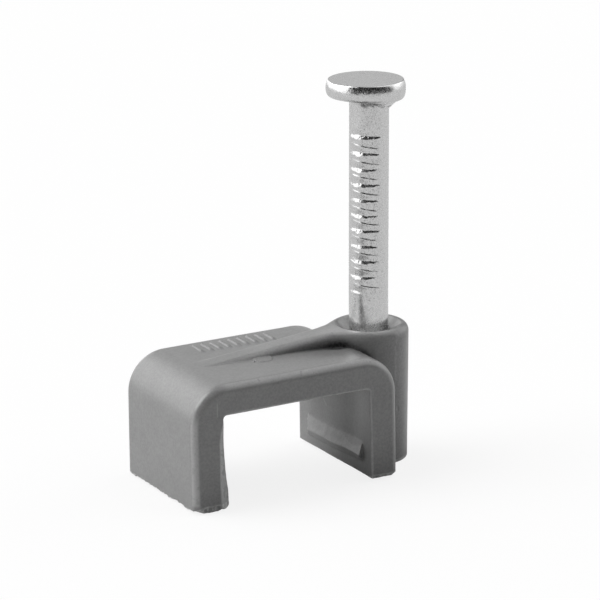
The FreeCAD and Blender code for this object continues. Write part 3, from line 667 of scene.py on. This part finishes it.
def spread(tree, source, low, high, to_low, to_high):
    node = tree.nodes.new("ShaderNodeMapRange")
    node.interpolation_type = "SMOOTHSTEP"
    node.inputs["From Min"].default_value = low
    node.inputs["From Max"].default_value = high
    node.inputs["To Min"].default_value = to_low
    node.inputs["To Max"].default_value = to_high
    tree.links.new(source, node.inputs["Value"])
    return node.outputs["Result"]


def sum_of(tree, parts, operation="ADD"):
    total = parts[0]
    for part in parts[1:]:
        node = tree.nodes.new("ShaderNodeMath")
        node.operation = operation
        tree.links.new(total, node.inputs[0])
        tree.links.new(part, node.inputs[1])
        total = node.outputs[0]
    return total


def painted(tree, name):
    node = tree.nodes.new("ShaderNodeAttribute")
    node.attribute_name = name
    return node.outputs["Fac"]


def stroke(tree, where, centre, sides):
    """1 inside a small box about centre (mm), 0 outside; sides: (direction, half size, softness)."""
    shift = tree.nodes.new("ShaderNodeVectorMath")
    shift.operation = "SUBTRACT"
    shift.inputs[1].default_value = [c * MM for c in centre]
    tree.links.new(where.outputs["Object"], shift.inputs[0])
    parts = []
    for direction, half, soft in sides:
        across = tree.nodes.new("ShaderNodeVectorMath")
        across.operation = "DOT_PRODUCT"
        across.inputs[1].default_value = direction
        tree.links.new(shift.outputs[0], across.inputs[0])
        size = tree.nodes.new("ShaderNodeMath")
        size.operation = "ABSOLUTE"
        tree.links.new(across.outputs["Value"], size.inputs[0])
        parts.append(spread(tree, size.outputs[0], (half - soft) * MM, (half + soft) * MM, 1.0, 0.0))
    return sum_of(tree, parts, "MULTIPLY")


def bumped(tree, shader, layers):
    """layers: (height source, distance in metres, and where the layer isn't everywhere, its strength)."""
    last = None
    for source, distance, *strength in layers:
        node = tree.nodes.new("ShaderNodeBump")
        node.inputs["Strength"].default_value = 1.0
        node.inputs["Distance"].default_value = distance
        if strength:
            tree.links.new(strength[0], node.inputs["Strength"])
        tree.links.new(source, node.inputs["Height"])
        if last is not None:
            tree.links.new(last.outputs[0], node.inputs["Normal"])
        last = node
    tree.links.new(last.outputs[0], shader.inputs["Normal"])


plastic, tree = new_material("grey_moulded_plastic")
out = tree.nodes.new("ShaderNodeOutputMaterial")
shader = tree.nodes.new("ShaderNodeBsdfPrincipled")
tree.links.new(shader.outputs[0], out.inputs[0])
where = tree.nodes.new("ShaderNodeTexCoord")
fine = grain(tree, where, 9000.0, 2.0)
cloud = grain(tree, where, 900.0, 3.0)
painted_edge_light = painted(tree, "edge")
rough_edge = painted(tree, "torn")
painted_shade = painted(tree, "painted_shade")
lines = sum_of(tree, [
    stroke(tree, where, (-1.98, 1.0, 2.87), [((0, 0.742, 0.670), 0.24, 0.05), ((0, 0.670, -0.742), 0.035, 0.022),
                                             ((1, 0, 0), 0.25, 0.02)]),
    stroke(tree, where, (-10.51, -3.72, 5.14), [((0, 0, 1), 0.34, 0.10), ((1, 0, 0), 0.030, 0.020),
                                                ((0, 1, 0), 0.12, 0.02)])])
# base colour: grain and cloud tone, painted highlight from the edge layer, two pale strokes, painted shade from the
# shade layer, and speckle on the torn feet
shade = sum_of(tree, [spread(tree, fine, 0.25, 0.75, 0.234, 0.286), spread(tree, cloud, 0.3, 0.7, -0.008, 0.008),
                      spread(tree, painted_edge_light, 0.0, 1.0, 0.0, 0.20), spread(tree, lines, 0.0, 1.0, 0.0, 0.10),
                      spread(tree, painted_shade, 0.0, 1.0, 0.0, -0.225),
                      sum_of(tree, [spread(tree, rough_edge, 0.0, 1.0, 0.0, 1.0),
                                    spread(tree, grain(tree, where, 5200.0, 3.0), 0.35, 0.65, 0.02, 0.34)],
                             "MULTIPLY")])
tree.links.new(shade, shader.inputs["Base Color"])
# less specular where shade is painted
tree.links.new(spread(tree, painted_shade, 0.0, 1.0, 0.78, 0.15), shader.inputs["Specular IOR Level"])
tree.links.new(sum_of(tree, [spread(tree, grain(tree, where, 3300.0, 3.0), 0.3, 0.7, 0.29, 0.37),
                             spread(tree, painted_edge_light, 0.0, 1.0, 0.0, -0.04)]), shader.inputs["Roughness"])
bumped(tree, shader, [(grain(tree, where, 1500.0, 2.0), 0.000009), (grain(tree, where, 7000.0, 2.0), 0.0000045)])
clip.data.materials.clear()
clip.data.materials.append(plastic)

metal, tree = new_material("zinc_plated_steel")
out = tree.nodes.new("ShaderNodeOutputMaterial")
shader = tree.nodes.new("ShaderNodeBsdfPrincipled")
tree.links.new(shader.outputs[0], out.inputs[0])
shader.inputs["Metallic"].default_value = 1.0
where = tree.nodes.new("ShaderNodeTexCoord")
specks = sum_of(tree, [spread(tree, grain(tree, where, 14000.0, 2.0, (1.0, 1.0, 0.8)), 0.52, 0.66, 0.0, -0.30),
                       spread(tree, painted(tree, "scuff"), 0.0, 1.0, 0.25, 1.0)], "MULTIPLY")
# base colour: grain tone, scuff specks, and the darker marks together with painted shade and painted dark reflections
shade = sum_of(tree, [spread(tree, grain(tree, where, 7000.0, 3.0), 0.3, 0.7, 0.79, 0.85), specks,
                      spread(tree, painted(tree, "marks_and_painted_shade"), 0.0, 1.0, 0.0, -0.58)])
tree.links.new(shade, shader.inputs["Base Color"])
tree.links.new(spread(tree, grain(tree, where, 4200.0, 3.0), 0.3, 0.7, 0.19, 0.31), shader.inputs["Roughness"])
bumped(tree, shader, [(grain(tree, where, 1700.0, 2.0, (1.0, 1.0, 0.35)), 0.000004),
                      (grain(tree, where, 9500.0, 2.0), 0.0000016),
                      (grain(tree, where, 9000.0, 3.0), 0.000018, painted(tree, "grit"))])
nail.data.materials.clear()
nail.data.materials.append(metal)

# ------------------------------------------------------------------------------------------------ stage
floor_mesh = bpy.data.meshes.new("floor")
ring = [(2.0 * math.cos(a), 2.0 * math.sin(a), 0.0) for a in (2 * math.pi * i / 64 for i in range(64))]
floor_mesh.from_pydata(ring, [], [list(range(64))])
floor = bpy.data.objects.new("floor", floor_mesh)
bpy.context.scene.collection.objects.link(floor)
pale, tree = new_material("pale_floor")
out = tree.nodes.new("ShaderNodeOutputMaterial")
mix = tree.nodes.new("ShaderNodeMixShader")
path = tree.nodes.new("ShaderNodeLightPath")
bounce = tree.nodes.new("ShaderNodeBsdfDiffuse")                   # what the object is lit by and reflects
bounce.inputs["Color"].default_value = (0.62, 0.62, 0.62, 1)
seen = tree.nodes.new("ShaderNodeAddShader")
sheet = tree.nodes.new("ShaderNodeBsdfDiffuse")
sheet.inputs["Color"].default_value = (0.16, 0.16, 0.16, 1)
glow = tree.nodes.new("ShaderNodeEmission")
glow.inputs["Color"].default_value = (1, 1, 1, 1)
glow.inputs["Strength"].default_value = 0.835
tree.links.new(sheet.outputs[0], seen.inputs[0])
tree.links.new(glow.outputs[0], seen.inputs[1])
tree.links.new(path.outputs["Is Camera Ray"], mix.inputs[0])
tree.links.new(bounce.outputs[0], mix.inputs[1])
tree.links.new(seen.outputs[0], mix.inputs[2])
tree.links.new(mix.outputs[0], out.inputs[0])
floor_mesh.materials.append(pale)

# A light tent, dark in front where the camera stands: soft round panels, each with its azimuth, elevation, radius and
# soft edge in degrees and its radiance.
AMBIENT = 0.020
PANELS = [
    (161.0, 5.5, 29.2, 6.5, 1.450),
    (2.0, -7.1, 37.4, 8.7, 0.850),
    (72.5, 7.6, 24.4, 6.0, 0.541),
    (140.7, 48.8, 24.2, 6.2, 2.182),
    (353.9, 47.6, 38.9, 6.5, 0.954),
    (103.2, 8.2, 26.9, 6.1, 1.577),
    (155.4, 46.0, 22.6, 6.1, 2.298),
]
world = bpy.data.worlds.new("studio")
world.use_nodes = True
bpy.context.scene.world = world
tree = world.node_tree
background = tree.nodes["Background"]
background.inputs["Color"].default_value = (1, 1, 1, 1)
where = tree.nodes.new("ShaderNodeTexCoord")
total = None
for azimuth, elevation, radius, soft, radiance in PANELS:
    az, el = math.radians(azimuth), math.radians(elevation)
    towards = tree.nodes.new("ShaderNodeVectorMath")
    towards.operation = "DOT_PRODUCT"
    towards.inputs[1].default_value = (math.cos(el) * math.cos(az), math.cos(el) * math.sin(az), math.sin(el))
    tree.links.new(where.outputs["Generated"], towards.inputs[0])
    angle = tree.nodes.new("ShaderNodeMath")
    angle.operation = "ARCCOSINE"
    tree.links.new(towards.outputs["Value"], angle.inputs[0])
    edge = tree.nodes.new("ShaderNodeMapRange")
    edge.interpolation_type = "SMOOTHSTEP"
    edge.inputs["From Min"].default_value = math.radians(radius - soft)
    edge.inputs["From Max"].default_value = math.radians(radius + soft)
    edge.inputs["To Min"].default_value = radiance
    edge.inputs["To Max"].default_value = 0.0
    tree.links.new(angle.outputs[0], edge.inputs["Value"])
    add = tree.nodes.new("ShaderNodeMath")
    add.operation = "ADD"
    tree.links.new(edge.outputs["Result"], add.inputs[0])
    if total is None:
        add.inputs[1].default_value = AMBIENT
    else:
        tree.links.new(total.outputs[0], add.inputs[1])
    total = add
tree.links.new(total.outputs[0], background.inputs["Strength"])

bpy.context.scene.view_settings.view_transform = "Standard"
